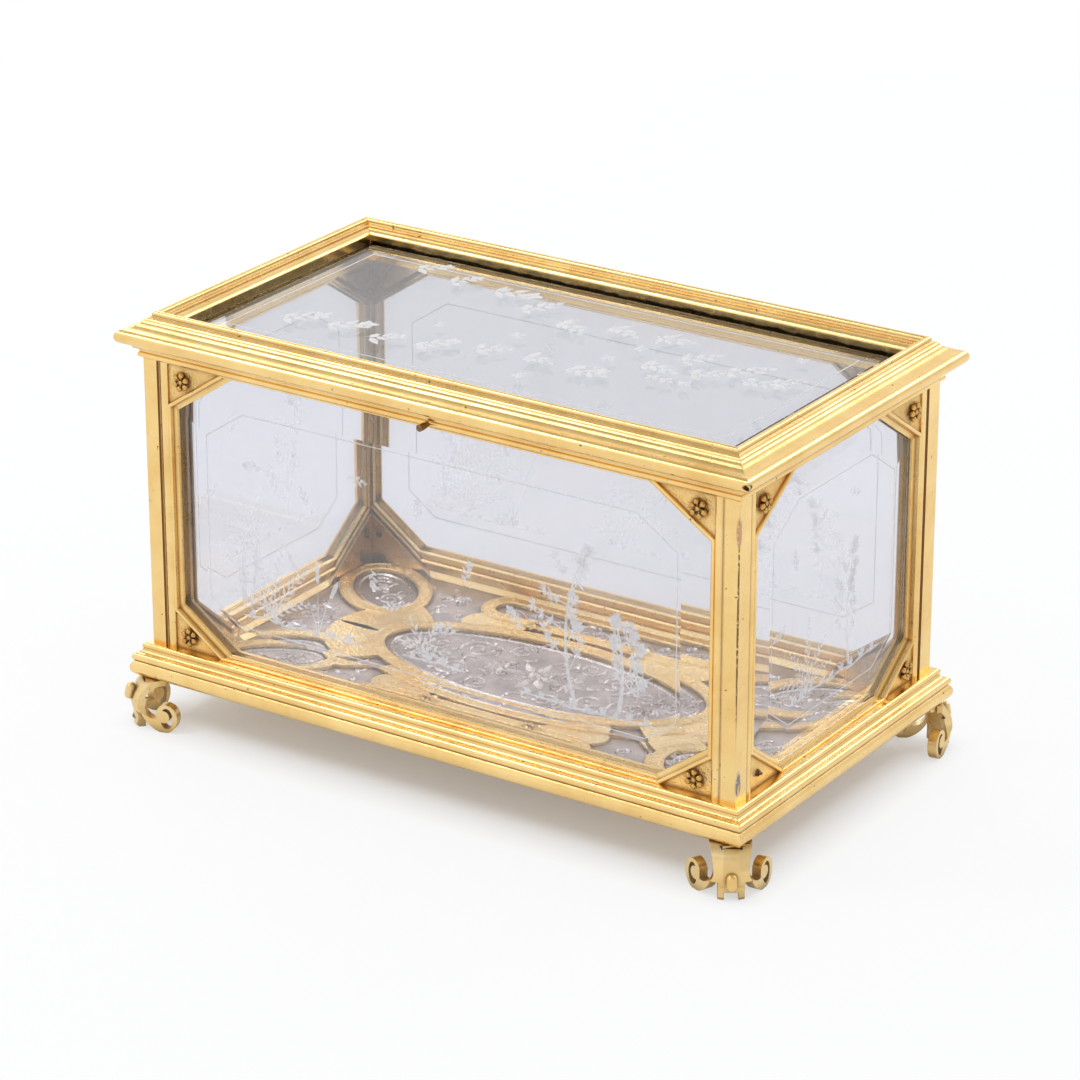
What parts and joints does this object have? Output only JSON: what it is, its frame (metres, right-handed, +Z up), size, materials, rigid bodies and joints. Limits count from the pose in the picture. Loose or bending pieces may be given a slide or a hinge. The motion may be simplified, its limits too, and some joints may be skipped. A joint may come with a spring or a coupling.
{
  "type": "casket",
  "caption": "Small casket of bevelled rock crystal panels in gilt metal mouldings, on scroll feet, with a hinged lid and a push-stud catch.",
  "frame": {"origin": "on the surface it stands on, under the middle of the casket", "axes": "+X to the right seen from the front, +Y to the back where the hinges are, +Z up"},
  "size_m": [0.2156, 0.1277, 0.1281],
  "materials": {
    "gilt": "burnished gilding, a little worn",
    "gilt_inner": "matt gilding",
    "gilt_dark": "worn gilding",
    "silvered_metal": "silvered, chased in relief",
    "steel": "dark, tarnished",
    "rock_crystal": "polished, bevelled, engraved"
  },
  "bodies": {
    "casket": {"base_rail_back": "gilt", "base_rail_front": "gilt", "base_rail_left": "gilt", "base_rail_right": "gilt", "catch_spring": "steel", "corner_plates_back": "gilt", "corner_plates_front": "gilt", "corner_plates_left": "gilt", "corner_plates_right": "gilt", "crystal_back": "rock_crystal", "crystal_front": "rock_crystal", "crystal_left": "rock_crystal", "crystal_right": "rock_crystal", "floor_clasps": "gilt", "floor_plaque": "silvered_metal", "floor_plate": "gilt_inner", "floor_strapwork": "gilt", "foot_back_left": "gilt", "foot_back_right": "gilt", "foot_front_left": "gilt", "foot_front_right": "gilt", "foot_screws": "steel", "hinge_leaf_body_left": "gilt_dark", "hinge_leaf_body_right": "gilt_dark", "hinge_pin_left": "gilt_dark", "hinge_pin_right": "gilt_dark", "hinge_rivets_body": "gilt_dark", "inner_frame_back": "gilt_inner", "inner_frame_front": "gilt_inner", "inner_frame_left": "gilt_inner", "inner_frame_right": "gilt_inner", "post_back_left": "gilt", "post_back_right": "gilt", "post_front_left": "gilt", "post_front_right": "gilt", "rosette_pins": "gilt_dark", "rosettes_back": "gilt", "rosettes_front": "gilt", "rosettes_left": "gilt", "rosettes_right": "gilt", "top_rail_back": "gilt", "top_rail_front": "gilt", "top_rail_left": "gilt", "top_rail_right": "gilt", "window_frame_back": "gilt", "window_frame_front": "gilt", "window_frame_left": "gilt", "window_frame_right": "gilt"},
    "lid": {"hinge_leaf_lid_left": "gilt_dark", "hinge_leaf_lid_right": "gilt_dark", "hinge_rivets_lid": "gilt_dark", "lid_crystal": "rock_crystal", "lid_rail_back": "gilt", "lid_rail_front": "gilt", "lid_rail_left": "gilt", "lid_rail_right": "gilt", "lid_retainer": "gilt_inner", "striker": "steel"},
    "stud": {"push_stud": "steel"}
  },
  "joints": [
    {"name": "lid_hinge", "type": "hinge", "parent": "casket", "child": "lid", "pos_m": [0, 0.05645, 0.1164], "axis": [-1, 0, 0], "range_deg": [0, 100]},
    {"name": "stud_push", "type": "slide", "parent": "casket", "child": "stud", "axis": [0, 1, 0], "range_m": [0, 0.0012], "stiffness_N_per_m": 800, "springref_m": -0.0005, "deforming": ["catch_spring"]}
  ]
}
